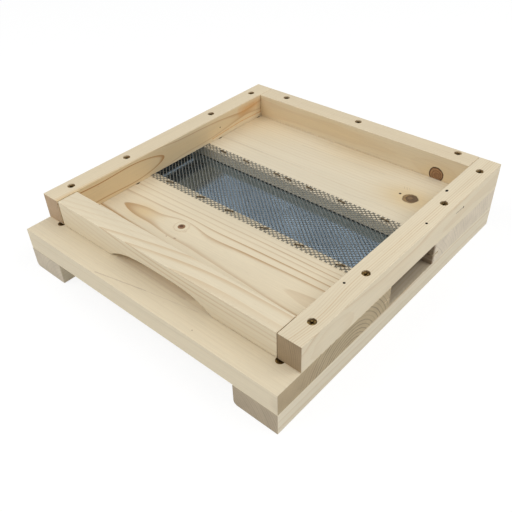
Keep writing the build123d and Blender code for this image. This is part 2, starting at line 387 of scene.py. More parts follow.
@dataclass
class PineGroups:
    """The shader groups that all the pine boards share. Their lengths are in millimetres."""

    stride: Triple = (173.0, 317.0, 911.0)
    patch_lump: Triple = (40.0, 40.0, 220.0)
    tone_lump: Triple = (45.0, 45.0, 260.0)
    fibre_lump: Triple = (1.3, 1.3, 75.0)
    hair_lump: Triple = (0.35, 0.35, 14.0)
    fleck_lump: Triple = (0.6, 0.6, 7.0)
    pore_lump: Triple = (0.9, 0.9, 0.9)
    blotch_lump: Triple = (14.0, 14.0, 14.0)
    mottle_lump: Triple = (2.4, 2.4, 2.4)
    tan_tint: Colour = (0.92, 0.80, 0.60, 1.0)

    def __post_init__(self) -> None:
        """Builds each group once."""
        self.rings = self._rings()
        self.knot = self._knot()
        self.scar_and_shade = self._scar_and_shade()
        self.surface = self._surface()

    def _rings(self) -> bpy.types.NodeTree:
        """Builds the group that counts the growth rings out from the pith.

        Returns:
            The group.
        """
        inputs = {
            "Grain": Kind.VECTOR, "Ring Width": Kind.VALUE, "Ring Edge": Kind.VALUE,
            "Wander": Kind.VALUE, "Sweep": Kind.VECTOR, "Sweep Start": Kind.VALUE, "Seed": Kind.VALUE,
        }
        group = Group("pine rings", inputs, {"Age": Kind.VALUE, "Radius": Kind.VALUE})
        given = group.given
        place = group.shifted(given["Grain"], self.stride, given["Seed"])

        softness = 45.0
        along = group.measure("DOT_PRODUCT", given["Grain"], UPWARD)
        before = group.minus(given["Sweep Start"], along)
        soft_length = group.math("SQRT", group.math("MULTIPLY_ADD", before, before, softness**2))
        bend = group.times(group.plus(before, soft_length), HALF)
        swept = group.vector("ADD", given["Grain"], group.scaled(given["Sweep"], bend))

        slow_lump = (55.0, 55.0, 200.0)
        slow_swing = 2.0
        quick_lump = (9.0, 9.0, 60.0)
        quick_swing = 0.3
        slow = group.scaled(group.stir(place, slow_lump), slow_swing)
        quick = group.scaled(group.stir(place, quick_lump), quick_swing)
        drift = group.vector("ADD", slow, quick)
        bent = group.vector("ADD", swept, group.scaled(drift, given["Wander"]))
        radius = group.measure("LENGTH", group.vector("MULTIPLY", bent, CROSSWISE))
        age = group.math("DIVIDE", group.minus(radius, given["Ring Edge"]), given["Ring Width"])
        return group.put(Age=age, Radius=radius)

    def _knot(self) -> bpy.types.NodeTree:
        """Builds the group that bends the rings round a knot and marks its core, rim and halo.

        Returns:
            The group.
        """
        inputs = {
            "Grain": Kind.VECTOR, "Age": Kind.VALUE, "Tint": Kind.COLOUR, "Core": Kind.VALUE,
            "Rim": Kind.VALUE, "Halo": Kind.VALUE, "Centre": Kind.VECTOR, "Branch": Kind.VECTOR,
            "Core Tint": Kind.COLOUR, "Core Radius": Kind.VALUE, "Collar": Kind.VALUE,
            "Rim Depth": Kind.VALUE, "Reach": Kind.VALUE, "Lift": Kind.VALUE, "Halo Depth": Kind.VALUE,
        }
        outputs = {
            "Age": Kind.VALUE, "Tint": Kind.COLOUR, "Core": Kind.VALUE,
            "Rim": Kind.VALUE, "Halo": Kind.VALUE,
        }
        group = Group("pine knot", inputs, outputs)
        given = group.given
        offset = group.vector("SUBTRACT", given["Grain"], given["Centre"])
        inward = group.scaled(given["Branch"], group.measure("DOT_PRODUCT", offset, given["Branch"]))
        aside = group.vector("SUBTRACT", offset, inward)

        eye_shape = (1.0, 1.0, 0.6)
        eye = group.measure("LENGTH", group.vector("MULTIPLY", aside, eye_shape))
        share = group.math("DIVIDE", eye, given["Reach"])
        bell = group.math("EXPONENT", group.times(group.times(share, share), -1.0))
        lifted = group.minus(given["Age"], group.times(given["Lift"], bell))
        halo = group.times(bell, given["Halo Depth"])

        rag_lump = (5.0, 5.0, 5.0)
        rag_depth = 0.3
        ragged = group.times(group.swing(given["Grain"], rag_lump, FINE_DETAIL), given["Core Radius"])
        distance = group.plus(group.measure("LENGTH", aside), group.times(ragged, rag_depth))
        size = group.math("DIVIDE", distance, given["Core Radius"])
        core = group.step(size, start=1.08, end=0.92)
        rim = group.times(group.step(size, start=0.82, end=0.95), group.step(size, start=1.12, end=1.0))
        rim = group.times(rim, given["Rim Depth"])

        collar_fade = 1.15
        own_ring_share = 0.5
        inside = group.step(size, group.times(given["Collar"], collar_fade), given["Collar"])
        own_rings = group.math("DIVIDE", size, group.times(given["Collar"], own_ring_share))
        return group.put(
            Age=group.blend(inside, lifted, own_rings),
            Tint=group.mix(core, given["Tint"], given["Core Tint"]),
            Core=group.math("MAXIMUM", given["Core"], core),
            Rim=group.math("MAXIMUM", given["Rim"], rim),
            Halo=group.math("MAXIMUM", given["Halo"], halo),
        )

    def _scar_and_shade(self) -> bpy.types.NodeTree:
        """Builds the group that marks a dark streak or dot, such as resin or a closed crack, and also a
        band of painted shade in a recess.

        Returns:
            The group.
        """
        inputs = {
            "Grain": Kind.VECTOR, "Scar": Kind.VALUE, "Start": Kind.VECTOR, "Reach": Kind.VECTOR,
            "Width": Kind.VALUE, "Depth": Kind.VALUE,
        }
        group = Group("pine scar", inputs, {"Scar": Kind.VALUE})
        given = group.given
        offset = group.vector("SUBTRACT", given["Grain"], given["Start"])
        along = group.math(
            "DIVIDE",
            group.measure("DOT_PRODUCT", offset, given["Reach"]),
            group.measure("DOT_PRODUCT", given["Reach"], given["Reach"]),
        )
        held = group.math("MINIMUM", group.math("MAXIMUM", along, 0.0), 1.0)
        aside = group.measure("DISTANCE", offset, group.scaled(given["Reach"], held))

        widest_fray = 3.0
        fray_lump = (1.5, 1.5, 3.0)
        fray = group.math("MINIMUM", given["Width"], widest_fray)
        ragged = group.times(group.swing(given["Grain"], fray_lump, FINE_DETAIL), fray)
        distance = group.math("DIVIDE", group.plus(aside, ragged), given["Width"])
        mark = group.times(group.step(distance, start=0.55, end=0.2), given["Depth"])
        return group.put(Scar=group.math("MAXIMUM", given["Scar"], mark))

    def _late_wood(self, group: Group, place: Feed) -> bpy.types.NodeSocket:
        """Gives how much a point darkens with the late wood of its year.

        Args:
            group: The surface group.
            place: The point, moved by the board's seed.

        Returns:
            The share of late wood.
        """
        given = group.given
        peak = 0.96
        drop = 0.965
        sharpness = 1.7
        ring = group.math("FRACT", given["Age"])
        late = group.step(ring, group.minus(peak, given["Late Share"]), peak)
        late = group.times(group.math("POWER", late, sharpness), group.step(ring, 1.0, drop))

        seed_years = 7.3
        count = group.plus(group.math("FLOOR", given["Age"]), group.times(given["Seed"], seed_years))
        chance = group.supply(group.node("ShaderNodeTexWhiteNoise", noise_dimensions="1D"), W=count)
        year = group.step(chance.outputs["Value"], start=0.1, end=0.9, low=0.3)
        cloud = group.noise(place, self.patch_lump).outputs["Fac"]
        patch = group.step(cloud, start=0.32, end=0.62, low=0.45)

        fade_start = 0.75
        faintest = 0.12
        near = group.times(given["Fade"], fade_start)
        far = group.step(given["Radius"], near, given["Fade"], low=1.0, high=faintest)
        line = group.times(group.times(late, year), group.times(patch, far))
        return group.math("MINIMUM", group.times(line, given["Lines"]), 1.0)

    def _surface(self) -> bpy.types.NodeTree:
        """Builds the group that turns ring ages and marks into colour, roughness and height.

        Returns:
            The group.
        """
        inputs = {
            "Grain": Kind.VECTOR, "Age": Kind.VALUE, "Radius": Kind.VALUE, "Fade": Kind.VALUE,
            "Heart": Kind.VALUE, "Lines": Kind.VALUE, "Late Share": Kind.VALUE, "Seed": Kind.VALUE,
            "Tint": Kind.COLOUR, "Core": Kind.VALUE, "Rim": Kind.VALUE, "Halo": Kind.VALUE,
            "Scar": Kind.VALUE, "End": Kind.VALUE,
            "Early": Kind.COLOUR, "Late": Kind.COLOUR, "Resin": Kind.COLOUR, "End Colour": Kind.COLOUR,
        }
        outputs = {"Colour": Kind.COLOUR, "Roughness": Kind.VALUE, "Height": Kind.VALUE}
        group = Group("pine surface", inputs, outputs)
        given = group.given
        place = group.shifted(given["Grain"], self.stride, given["Seed"])
        line = self._late_wood(group, place)

        tone = group.swing(place, self.tone_lump)
        tone_weight = 0.22
        fibre = group.swing(place, self.fibre_lump, FINE_DETAIL)
        fibre_weight = 0.16
        hair = group.swing(place, self.hair_lump)
        hair_weight = 0.10
        level = group.add_up(1.0, (tone, tone_weight), (fibre, fibre_weight), (hair, hair_weight))
        early = group.scaled(given["Early"], level)

        heart_waver = 8.0
        heart_edge = group.add_up(given["Heart"], (tone, heart_waver))
        from_heart = group.minus(given["Radius"], heart_edge)
        heart = group.step(from_heart, start=3.0, end=-3.0, high=0.7)
        tan = group.math("MAXIMUM", heart, given["Halo"])
        early = group.mix(tan, early, self.tan_tint, "MULTIPLY")

        grains = group.noise(place, self.fleck_lump, detail=1.0).outputs["Fac"]
        fleck = group.step(grains, start=0.70, end=0.80)
        fleck_share = 0.22
        colour = group.mix(line, early, given["Late"])
        colour = group.mix(group.times(fleck, fleck_share), colour, given["Late"], "MULTIPLY")

        pores = group.swing(place, self.pore_lump, FINE_DETAIL)
        pore_weight = 0.30
        blotch = group.swing(place, self.blotch_lump)
        blotch_weight = 0.28
        end_line_weight = -0.6
        end_level = group.add_up(
            1.0, (pores, pore_weight), (blotch, blotch_weight), (line, end_line_weight)
        )
        colour = group.mix(given["End"], colour, group.scaled(given["End Colour"], end_level))

        mottle = group.swing(place, self.mottle_lump, FINE_DETAIL)
        mottle_weight = 0.9
        core_line_weight = -0.35
        core_level = group.add_up(1.0, (mottle, mottle_weight), (line, core_line_weight))
        colour = group.mix(given["Core"], colour, group.scaled(given["Tint"], core_level))
        rim_level = 0.6
        rim = group.scaled(group.vector("MULTIPLY", given["Tint"], given["Tint"]), rim_level)
        colour = group.mix(given["Rim"], colour, rim)
        # Scars take the resin colour, and so do the bands of painted shade.
        colour = group.mix(given["Scar"], colour, given["Resin"])

        planed = 0.60
        fibre_rough = 0.20
        line_rough = -0.10
        end_rough = 0.15
        rough = group.add_up(
            planed, (fibre, fibre_rough), (line, line_rough), (given["End"], end_rough)
        )

        hair_height = 0.5
        fibre_height = 0.4
        line_height = 0.35
        fleck_height = -0.35
        planed_height = group.add_up(
            0.0, (hair, hair_height), (fibre, fibre_height), (line, line_height), (fleck, fleck_height)
        )
        pore_height = 1.2
        blotch_height = 0.6
        # Scars are sunk a little, and so are the bands of painted shade.
        scar_and_shade_height = -0.9
        sawn_height = group.add_up(0.0, (pores, pore_height), (blotch, blotch_height))
        height = group.plus(planed_height, group.times(sawn_height, given["End"]))
        height = group.add_up(height, (given["Scar"], scar_and_shade_height))
        return group.put(Colour=colour, Roughness=rough, Height=height)


class GrainRun(Enum):
    """The way that a board's fibres run."""

    ALONG_X = (1.0, 0.0, 0.0)
    ALONG_Y = (0.0, 1.0, 0.0)

    def turn(self, rise: float, drift: float) -> Euler:
        """Gives the turn that lays the growth axis along the board.

        Args:
            rise: How fast the pith climbs along the board.
            drift: How fast it moves sideways, to the back along X and to the right along Y.

        Returns:
            The turn from +Z to the pith.
        """
        right_angle = math.pi / 2
        if self is GrainRun.ALONG_X:
            return Euler((0.0, right_angle - math.atan(rise), math.atan(drift)))
        return Euler((math.atan(rise) - right_angle, 0.0, -math.atan(drift)))


@dataclass(frozen=True)
class PineTone:
    """The colours of one board."""

    early: Colour = srgb(232, 218, 190)
    late: Colour = srgb(196, 158, 108)
    # The resin colour also colours the bands of painted shade.
    resin_and_shade: Colour = srgb(84, 58, 36)
    end: Colour = srgb(176, 150, 118)


@dataclass(frozen=True)
class Knot:
    """A branch that a face cuts through. Places are in millimetres from the board's low corner.

    At the least radius no core shows, and the knot only bends or tans the rings round it.
    """

    place: Triple
    branch: Triple
    reach: float
    lift: float = 0.0
    radius: float = 0.05
    tint: Colour = srgb(140, 104, 74)
    collar: float = 1.0
    rim: float = 0.0
    halo: float = 0.0

    @classmethod
    def pin_hole(cls, place: Triple, branch: Triple, radius: float) -> Knot:
        """Gives a small dark hole, round which the rings run straight on."""
        return cls(place, branch, reach=2.0, radius=radius, tint=srgb(34, 24, 16))


@dataclass(frozen=True)
class Scar:
    """A dark streak or dot, or a band of painted shade in a recess. Places are in millimetres from the
    board's low corner.
    """

    start: Triple
    end: Triple
    width: float
    depth: float


@dataclass(frozen=True)
class PineFinish:
    """The grain of one planed pine board. Lengths are in millimetres from the board's low corner."""

    node: str
    run: GrainRun
    pith: Triple
    ring_width: float
    wander: float
    lines: float
    seed: float
    rise: float = 0.0
    drift: float = 0.0
    ring_edge: float = 0.0
    fade: float = 300.0
    heart: float = 0.0
    late_share: float = 0.66
    sweep: Triple = (0.0, 0.0, 0.0)
    sweep_start: float = 0.0
    tone: PineTone = PineTone()
    knots: tuple[Knot, ...] = ()
    scars_and_shade: tuple[Scar, ...] = ()
    end_grain_from: float = 0.75
    end_grain_full: float = 0.95
    specular: float = 0.35
    relief: float = 0.25
    relief_strength: float = 0.6

    def material(self, groups: PineGroups) -> bpy.types.Material:
        """Builds the board's material.

        Args:
            groups: The groups that all the boards share.

        Returns:
            The material.
        """
        corner = Vector(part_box(self.node)[0])
        origin = corner + Vector(self.pith) * MM
        turn = self.run.turn(self.rise, self.drift)
        scale = Vector((MM, MM, MM))
        to_pith = Matrix.LocRotScale(origin, turn, scale).inverted()

        def in_grain(place: Triple) -> Vector:
            """Takes a place on the board to the pith's own axes."""
            return to_pith @ (corner + Vector(place) * MM)

        material = bpy.data.materials.new(f"pine_{self.node}")
        wiring = Wiring.blank(material)
        spot = wiring.node("ShaderNodeTexCoord")
        mapping = wiring.node("ShaderNodeMapping", vector_type="TEXTURE")
        wiring.supply(mapping, Vector=spot.outputs["Object"], Location=origin, Rotation=turn, Scale=scale)
        grain = mapping.outputs["Vector"]

        rings = wiring.group(
            groups.rings, Grain=grain, Ring_Width=self.ring_width, Ring_Edge=self.ring_edge,
            Wander=self.wander, Sweep=self.sweep, Sweep_Start=self.sweep_start, Seed=self.seed,
        )
        age: Feed = rings.outputs["Age"]
        marks: dict[str, Feed] = {}
        for knot in self.knots:
            made = wiring.group(
                groups.knot, Grain=grain, Age=age, **marks, Centre=in_grain(knot.place),
                Branch=(turn.to_matrix().inverted() @ Vector(knot.branch)).normalized(),
                Core_Tint=knot.tint, Core_Radius=knot.radius, Collar=knot.collar, Rim_Depth=knot.rim,
                Reach=knot.reach, Lift=knot.lift, Halo_Depth=knot.halo,
            )
            age = made.outputs["Age"]
            marks = {name: made.outputs[name] for name in ("Tint", "Core", "Rim", "Halo")}
        mark: Feed = 0.0
        for scar_and_shade in self.scars_and_shade:
            start = in_grain(scar_and_shade.start)
            made = wiring.group(
                groups.scar_and_shade, Grain=grain, Scar=mark, Start=start, Reach=in_grain(scar_and_shade.end) - start,
                Width=scar_and_shade.width, Depth=scar_and_shade.depth,
            )
            mark = made.outputs["Scar"]

        along = wiring.measure("DOT_PRODUCT", spot.outputs["Normal"], self.run.value)
        facing = wiring.math("ABSOLUTE", along)
        surface = wiring.group(
            groups.surface, Grain=grain, Age=age, Radius=rings.outputs["Radius"], Fade=self.fade,
            Heart=self.heart, Lines=self.lines, Late_Share=self.late_share, Seed=self.seed, **marks,
            Scar=mark, End=wiring.step(facing, self.end_grain_from, self.end_grain_full),
            Early=self.tone.early, Late=self.tone.late, Resin=self.tone.resin_and_shade, End_Colour=self.tone.end,
        )
        shader = wiring.supply(
            wiring.node("ShaderNodeBsdfPrincipled"), Specular_IOR_Level=self.specular,
            Base_Color=surface.outputs["Colour"], Roughness=surface.outputs["Roughness"],
            Normal=wiring.bump(surface.outputs["Height"], self.relief_strength, self.relief * MM),
        )
        wiring.supply(wiring.node("ShaderNodeOutputMaterial"), Surface=shader.outputs["BSDF"])
        return material


@dataclass
class MetalGroups:
    """The shader group that all the metals share. Its lengths are in millimetres."""

    stride: Triple = (31.0, 57.0, 91.0)
    grit_lump: Triple = (0.5, 0.5, 0.5)
    grit_weight: float = 0.25

    def __post_init__(self) -> None:
        """Builds the group once."""
        inputs = {
            "Place": Kind.VECTOR, "Lump": Kind.VECTOR, "Bright": Kind.COLOUR, "Dull": Kind.COLOUR,
            "Smooth": Kind.VALUE, "Rough": Kind.VALUE, "Seed": Kind.VALUE,
        }
        outputs = {"Colour": Kind.COLOUR, "Roughness": Kind.VALUE, "Height": Kind.VALUE}
        group = Group("metal tarnish", inputs, outputs)
        given = group.given
        place = group.shifted(given["Place"], self.stride, given["Seed"])
        cloud = group.noise(place, given["Lump"], detail=4.0).outputs["Fac"]
        grit = group.swing(place, self.grit_lump)
        dulled = group.step(group.add_up(cloud, (grit, self.grit_weight)), start=0.35, end=0.68)
        colour = group.mix(dulled, given["Bright"], given["Dull"])
        span = group.minus(given["Rough"], given["Smooth"])
        roughness = group.math("MULTIPLY_ADD", dulled, span, given["Smooth"])
        height = group.add_up(0.0, (dulled, HALF), (grit, HALF))
        self.tarnish = group.put(Colour=colour, Roughness=roughness, Height=height)


@dataclass(frozen=True)
class MetalFinish:
    """A metal that is brighter in some places than in others. Lengths are in millimetres."""

    name: str
    bright: Colour
    dull: Colour
    smooth: float
    rough: float
    lump: Triple
    seed: float
    metallic: float = 1.0
    relief: float = 0.04
    relief_strength: float = 0.5

    def material(self, groups: MetalGroups) -> bpy.types.Material:
        """Builds the metal's material.

        Args:
            groups: The group that all the metals share.

        Returns:
            The material.
        """
        material = bpy.data.materials.new(self.name)
        wiring = Wiring.blank(material)
        spot = wiring.node("ShaderNodeTexCoord")
        tarnish = wiring.group(
            groups.tarnish, Place=wiring.scaled(spot.outputs["Object"], 1.0 / MM), Lump=self.lump,
            Bright=self.bright, Dull=self.dull, Smooth=self.smooth, Rough=self.rough, Seed=self.seed,
        )
        shader = wiring.supply(
            wiring.node("ShaderNodeBsdfPrincipled"), Metallic=self.metallic,
            Base_Color=tarnish.outputs["Colour"], Roughness=tarnish.outputs["Roughness"],
        )
        if self.relief:
            normal = wiring.bump(tarnish.outputs["Height"], self.relief_strength, self.relief * MM)
            wiring.supply(shader, Normal=normal)
        wiring.supply(wiring.node("ShaderNodeOutputMaterial"), Surface=shader.outputs["BSDF"])
        return material


def paint(node: bpy.types.Object, material: bpy.types.Material) -> None:
    """Gives every material slot of a CAD node one material.

    Args:
        node: The node's object.
        material: The material.
    """
    for slot in node.material_slots:
        slot.material = material
    log.info("%s wears %s", node.name, material.name)


@dataclass
class Woodwork:
    """The eight boards: runners, floor boards, rails and entrance block. Sizes are in millimetres."""

    nodes: dict[str, bpy.types.Object]
    groups: PineGroups
    floor_top: float = 25.0
    rail_top: float = 30.0
    rail_side: float = 25.0
    warm: PineTone = PineTone(
        early=srgb(229, 213, 183), late=srgb(176, 122, 66),
        resin_and_shade=srgb(214, 150, 70), end=srgb(190, 164, 134),
    )
    # The resin colours of pale_end and grey_end also colour the painted shade on the rear floor board's
    # front edge and on the right runner's top.
    pale_end: PineTone = PineTone(
        early=srgb(230, 218, 193), late=srgb(200, 166, 120),
        resin_and_shade=srgb(104, 70, 34), end=srgb(224, 211, 190),
    )
    grey_end: PineTone = PineTone(
        early=srgb(231, 220, 196), late=srgb(200, 166, 120),
        resin_and_shade=srgb(104, 70, 34), end=srgb(188, 172, 148),
    )

    def dress(self) -> None:
        """Gives every board its own grain."""
        boards = (
            self._front_floor_board(), self._rear_floor_board(),
            self._left_side_rail(), self._right_side_rail(), self._rear_rail(), self._entrance_block(),
            self._left_runner(), self._right_runner(),
        )
        for board in boards:
            paint(self.nodes[board.node], board.material(self.groups))

    def _front_floor_board(self) -> PineFinish:
        """Lays a long tongue of rings, one knot, resin lines on the landing strip, and painted shade on
        the floor under the entrance arch.

        Returns:
            The board's finish.
        """
        top = self.floor_top
        middle = self.floor_top / 2
        past_end = 352.0
        leaning = (0.0, 0.1, 1.0)
        return PineFinish(
            node="front_floor_board", run=GrainRun.ALONG_X, pith=(0.0, 100.5, -26.77), rise=0.0195,
            ring_width=4.2, ring_edge=50.5, wander=1.2, fade=85.0, lines=1.0, late_share=0.42, seed=1.0,
            # The reddish resin colour also gives the painted shade under the arch the warm tone of light
            # bounced off the wood.
            tone=PineTone(late=srgb(182, 146, 102), resin_and_shade=srgb(112, 54, 24), end=srgb(186, 168, 136)),
            knots=(
                Knot((74.0, 101.0, top), UPWARD, reach=12.0, lift=0.2, halo=0.8),
                Knot(
                    (128.0, 108.0, top), leaning, reach=13.0, lift=1.0, radius=3.9,
                    tint=srgb(144, 106, 74), collar=2.2, rim=0.2,
                ),
                Knot((127.4, 108.4, top), leaning, reach=2.0, radius=2.2, tint=srgb(92, 62, 42)),
            ),
            scars_and_shade=(
                # Painted shade on the floor that shows through the entrance arch, under the block.
                Scar((116.0, 33.0, top), (212.0, 33.0, top), width=7.0, depth=0.15),
                Scar((124.0, 39.0, top), (216.0, 39.0, top), width=15.0, depth=0.2),
                # Darkens the front part of the right end face.
                Scar((past_end, 4.0, middle), (past_end, 44.0, middle), width=25.0, depth=0.1),
                Scar((116.0, 2.7, top), (176.0, 16.0, top), width=1.4, depth=0.26),
                Scar((176.0, 16.0, top), (235.0, 27.0, top), width=1.0, depth=0.12),
                Scar((247.0, 7.8, top), (247.3, 7.8, top), width=1.6, depth=0.6),
                Scar((127.5, 86.3, top), (127.9, 86.5, top), width=1.8, depth=0.6),
                Scar((136.5, 89.0, top), (138.0, 89.3, top), width=1.8, depth=0.5),
            ),
        )

    def _rear_floor_board(self) -> PineFinish:
        """Lays faint rings, tanned patches, a large knot with a small one, and painted shade on the front
        edge in the vent gap.

        Returns:
            The board's finish.
        """
        top = self.floor_top
        middle = self.floor_top / 2
        before_edge = -3.0
        leaning = (0.1, 0.1, 1.0)
        return PineFinish(
            node="rear_floor_board", run=GrainRun.ALONG_X, pith=(0.0, -70.0, -60.0), drift=0.006,
            ring_width=4.2, wander=3.0, lines=0.35, late_share=0.4, seed=2.0, tone=self.pale_end,
            knots=(
                Knot((20.0, 92.0, top), UPWARD, reach=46.0, halo=0.55),
                Knot((190.0, 112.0, top), UPWARD, reach=38.0, halo=0.4),
                Knot(
                    (288.0, 57.4, top), (0.15, 0.1, 1.0), reach=22.0, lift=1.6, radius=8.5,
                    tint=srgb(146, 118, 80), rim=0.3, halo=0.95,
                ),
                Knot(
                    (289.6, 58.2, top), leaning, reach=6.0, radius=6.6,
                    tint=srgb(104, 82, 58), rim=0.35,
                ),
                Knot((287.4, 58.6, top), leaning, reach=3.0, radius=2.6, tint=srgb(130, 104, 74)),
                Knot((274.0, 59.6, top), UPWARD, reach=4.0, lift=0.4, radius=1.5, tint=srgb(58, 42, 28)),
            ),
            scars_and_shade=(
                # Painted shade on the front edge, which faces into the vent gap under the mesh.
                Scar((25.0, before_edge, middle), (325.0, before_edge, middle), width=34.0, depth=0.22),
                Scar((25.0, 34.8, top), (92.0, 35.4, top), width=1.8, depth=0.16),
                Scar((92.0, 35.4, top), (158.0, 36.2, top), width=1.6, depth=0.11),
                Scar((121.0, 79.4, top), (239.0, 83.6, top), width=1.8, depth=0.1),
                Scar((225.0, 22.0, top), (262.0, 27.0, top), width=1.6, depth=0.08),
                Scar((262.0, 27.0, top), (303.0, 25.0, top), width=1.6, depth=0.08),
                Scar((270.5, 74.5, top), (273.0, 71.0, top), width=1.0, depth=0.25),
                Scar((273.5, 75.0, top), (276.0, 71.5, top), width=1.0, depth=0.25),
                Scar((276.5, 75.5, top), (279.0, 72.0, top), width=1.0, depth=0.2),
                # Deeper painted shade at the right end of the front edge, under the right rail in the
                # open end of the vent gap.
                *(
                    Scar((332.0, before_edge, up), (350.0, before_edge, up), width=14.0, depth=0.78)
                    for up in (3.0, 9.0, 15.0, 21.0)
                ),
            ),
        )

    def _left_side_rail(self) -> PineFinish:
        """Lays waving heart rings along the inner side, with a warm patch and a resin line.

        Returns:
            The rail's finish.
        """
        side = self.rail_side
        return PineFinish(
            node="left_side_rail", run=GrainRun.ALONG_Y, pith=(53.3, 0.0, 14.2), drift=0.0185, rise=0.007,
            ring_width=3.0, ring_edge=31.0, wander=1.0, fade=40.0, heart=34.0, lines=1.3, late_share=0.22,
            seed=2.9, tone=self.warm,
            knots=(
                Knot((side, 104.0, 15.0), RIGHTWARD, reach=21.0, lift=0.55),
                Knot((side, 176.0, 15.0), RIGHTWARD, reach=18.0, lift=-0.32),
                Knot((side, 337.0, 16.0), RIGHTWARD, reach=18.0, lift=0.6),
                Knot((side, 246.0, 14.5), RIGHTWARD, reach=3.0, radius=0.9, tint=srgb(110, 78, 48)),
            ),
            scars_and_shade=(
                Scar((side, 287.0, 21.5), (side, 318.0, 22.5), width=18.0, depth=0.3),
                Scar((side, 291.0, 21.5), (side, 315.0, 22.5), width=12.0, depth=0.44),
                Scar((side, 296.0, 21.5), (side, 311.0, 22.5), width=7.0, depth=0.55),
                Scar((side, 230.7, 4.3), (side, 282.1, 7.5), width=1.3, depth=0.7),
                Scar((side, 282.1, 7.5), (side, 325.0, 6.4), width=1.3, depth=0.7),
            ),
        )

    def _right_side_rail(self) -> PineFinish:
        """Lays fine rings, five pin holes and a short crack.

        Returns:
            The rail's finish.
        """
        top = self.rail_top
        side = self.rail_side
        return PineFinish(
            node="right_side_rail", run=GrainRun.ALONG_Y, pith=(-40.0, 0.0, 12.0), drift=0.012,
            ring_width=2.3, wander=3.0, lines=0.6, seed=4.0,
            tone=PineTone(resin_and_shade=srgb(78, 48, 22), end=srgb(164, 142, 112)),
            knots=(
                Knot((12.0, 34.0, top), UPWARD, reach=22.0, lift=2.0),
                Knot.pin_hole((6.2, 83.0, top), UPWARD, radius=1.3),
                Knot.pin_hole((17.1, 203.6, top), UPWARD, radius=1.4),
                Knot.pin_hole((4.6, 265.9, top), UPWARD, radius=1.4),
                Knot.pin_hole((4.6, 267.6, top), UPWARD, radius=1.3),
                Knot.pin_hole((side, 267.4, 18.0), RIGHTWARD, radius=1.3),
            ),
            scars_and_shade=(
                Scar((side, 252.0, 18.5), (side, 268.0, 18.0), width=1.8, depth=0.5),
                Scar((13.0, 248.8, top), (13.0, 249.1, top), width=2.0, depth=0.6),
            ),
        )

    def _rear_rail(self) -> PineFinish:
        """Lays faint heart rings and one ringed knot on the inner side.

        Returns:
            The rail's finish.
        """
        return PineFinish(
            node="rear_rail", run=GrainRun.ALONG_X, pith=(0.0, -40.0, 15.0), drift=-0.01,
            ring_width=3.2, wander=2.5, heart=41.5, lines=0.3, late_share=0.4, seed=5.0, tone=self.warm,
            knots=(
                Knot(
                    (264.0, 0.0, 6.0), FORWARD, reach=15.0, lift=1.2, radius=8.4,
                    tint=srgb(164, 126, 90), rim=1.0, halo=0.6,
                ),
                Knot((264.6, 0.0, 5.4), FORWARD, reach=5.0, radius=5.6, tint=srgb(154, 116, 82), rim=0.5),
                Knot((264.9, 0.0, 5.0), FORWARD, reach=3.0, radius=3.2, tint=srgb(146, 108, 76), rim=0.4),
            ),
        )

    def _entrance_block(self) -> PineFinish:
        """Lays wide rings that sweep up to the right, and painted shade down the front of the left end,
        for the gap beside the left rail.

        Returns:
            The block's finish.
        """
        return PineFinish(
            node="entrance_block", run=GrainRun.ALONG_X, pith=(0.0, -9.0, 90.0),
            ring_width=5.4, ring_edge=63.6, wander=1.2, fade=80.0, lines=1.5, late_share=0.6, seed=6.0,
            sweep=(0.0, 0.26, 0.0), sweep_start=196.0,
            # Painted shade: a dark line down the front-left corner for the shaded gap beside the left
            # rail.
            scars_and_shade=(Scar((0.0, 0.0, 0.0), (0.0, 0.0, self.rail_top), width=1.7, depth=0.85),),
        )

    def _left_runner(self) -> PineFinish:
        """Lays faint rings with a pale end.

        Returns:
            The runner's finish.
        """
        return PineFinish(
            node="left_runner", run=GrainRun.ALONG_Y, pith=(70.0, 0.0, -20.0), drift=0.01,
            ring_width=3.4, wander=2.0, lines=0.25, seed=7.0,
            tone=replace(self.pale_end, end=srgb(210, 197, 176)),
        )

    def _right_runner(self) -> PineFinish:
        """Lays soft rings with a grey end, and painted shade on its top under the open end of the vent
        gap.

        Returns:
            The runner's finish.
        """
        above = 26.0
        return PineFinish(
            node="right_runner", run=GrainRun.ALONG_Y, pith=(-30.0, 0.0, -25.0), drift=-0.012,
            ring_width=3.1, wander=2.0, lines=0.5, seed=8.0, tone=self.grey_end,
            # Painted shade on the top, where it lies in the open end of the vent gap.
            scars_and_shade=tuple(
                Scar((across, 140.0, above), (across, 260.0, above), width=16.0, depth=0.5)
                for across in (8.0, 18.0, 28.0, 36.0, 43.0)
            ),
        )


class Side(Enum):
    """The four corners of a diamond opening, and the four openings round a joint, in turn."""

    EAST = (1, 0)
    NORTH = (0, 1)
    WEST = (-1, 0)
    SOUTH = (0, -1)

    @property
    def facing(self) -> Side:
        """The side across from this one."""
        east_west, north_south = self.value
        return Side((-east_west, -north_south))


Corner = tuple[int, int, Side]
Point = Corner | tuple[Corner, Corner]


